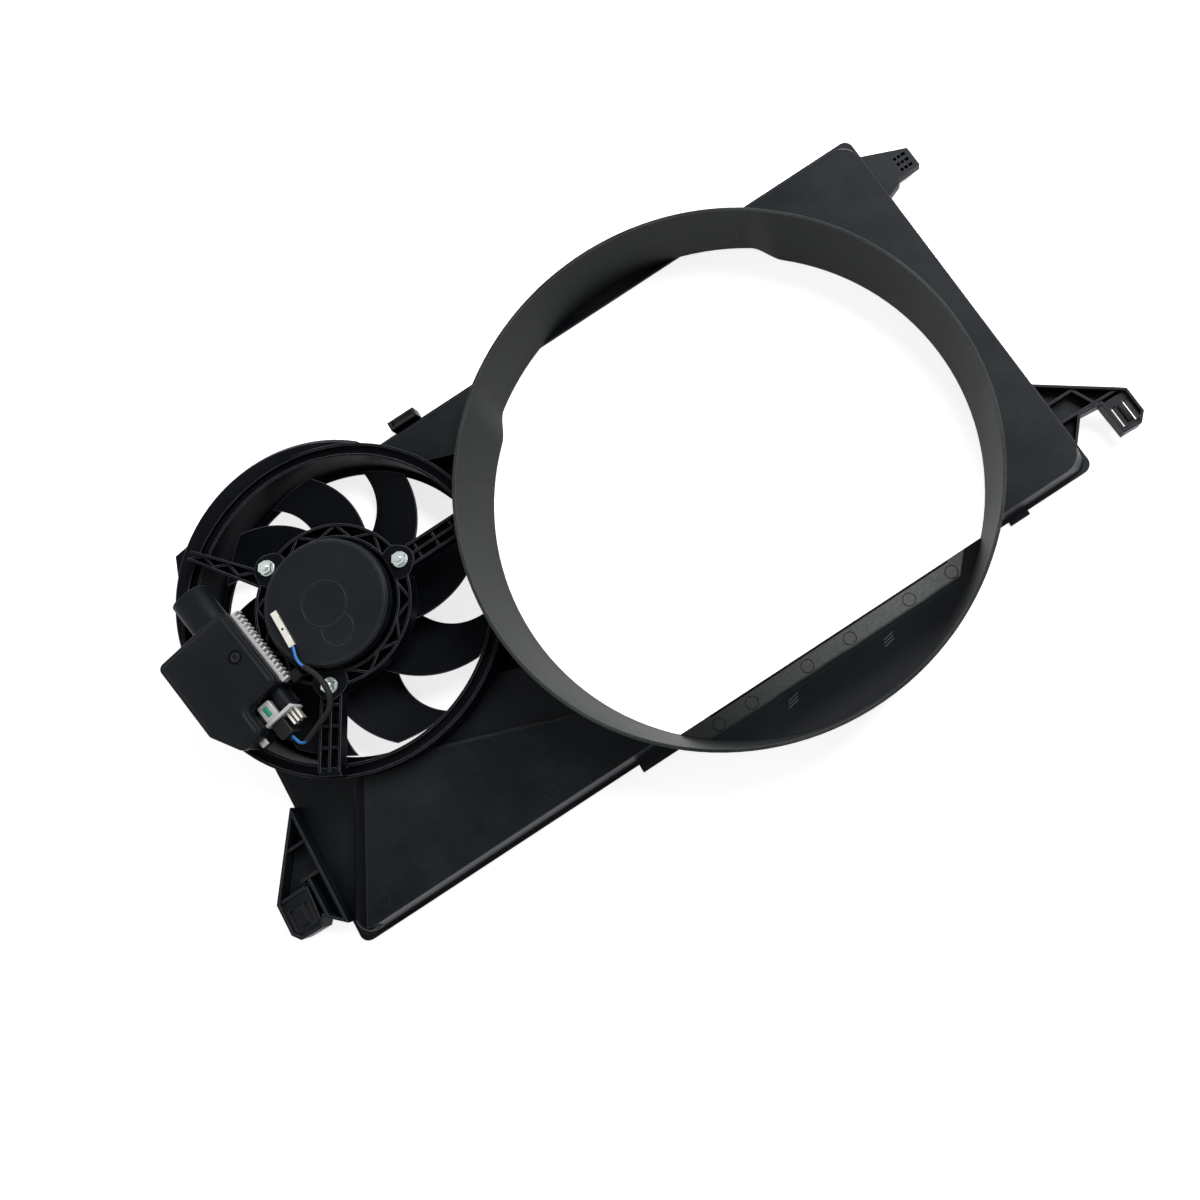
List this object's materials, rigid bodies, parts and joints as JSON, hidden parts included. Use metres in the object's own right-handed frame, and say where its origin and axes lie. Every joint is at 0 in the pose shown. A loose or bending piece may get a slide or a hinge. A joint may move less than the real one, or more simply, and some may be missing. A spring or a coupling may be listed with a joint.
{
  "type": "radiator cooling fan",
  "caption": "Radiator cowl with a large plain fan ring and a small electric fan with its motor, control module and clip brackets.",
  "frame": {"origin": "middle of the footprint, on the plane of the lip that lies on the radiator", "axes": "+X along the cowl away from the small fan, +Y towards the edge with the ring's wider stretch, +Z away from the radiator"},
  "size_m": [0.88, 0.5062, 0.088],
  "materials": {
    "shroud_plastic": "satin moulded black",
    "fan_plastic": "satin moulded black",
    "module_plastic": "semi-matte black",
    "pale_plastic": "matt light grey",
    "green_plastic": "satin green",
    "boot_rubber": "matt black",
    "lead_cover": "satin blue",
    "coated_steel": "satin black coating",
    "bright_steel": "zinc plated",
    "laminations": "stacked sheet",
    "copper": "bare copper",
    "bronze": "tinned bronze",
    "ferrite": "dark pressed powder",
    "board": "resin board",
    "heat_sink_metal": "as cast"
  },
  "bodies": {
    "shroud": {"right_panel": "shroud_plastic", "left_panel": "shroud_plastic", "large_fan_ring": "shroud_plastic", "lower_scoop": "shroud_plastic", "right_clip_bracket": "shroud_plastic", "left_clip_bracket": "shroud_plastic", "upper_bracket": "shroud_plastic", "cable_loop": "shroud_plastic", "fan_barrel": "fan_plastic", "motor_carrier": "fan_plastic", "module_housing": "module_plastic", "module_cover": "module_plastic", "power_socket": "module_plastic", "terminal_tower": "module_plastic", "plug_body": "pale_plastic", "module_tabs": "pale_plastic", "plug_lock": "green_plastic", "plug_boot": "boot_rubber", "lead_sleeve": "boot_rubber", "motor_lead": "lead_cover", "motor_can": "coated_steel", "motor_end_cap": "coated_steel", "motor_studs": "bright_steel", "flange_nuts": "bright_steel", "brush_springs": "bright_steel", "front_bush": "bronze", "rear_bush": "bronze", "motor_terminal": "bronze", "plug_contacts": "bronze", "socket_pins": "bronze", "motor_magnets": "ferrite", "carbon_brushes": "ferrite", "brush_card": "board", "circuit_board": "board", "heat_sink": "heat_sink_metal"},
    "rotor": {"fan_impeller": "fan_plastic", "impeller_nut": "bright_steel", "motor_shaft": "bright_steel", "armature_core": "laminations", "armature_windings": "copper", "commutator": "copper"}
  },
  "joints": [
    {"name": "fan_spin", "type": "hinge", "parent": "shroud", "child": "rotor", "pos_m": [-0.252, 0.08255, 0.042], "axis": [0, 0, 1], "continuous": true}
  ]
}
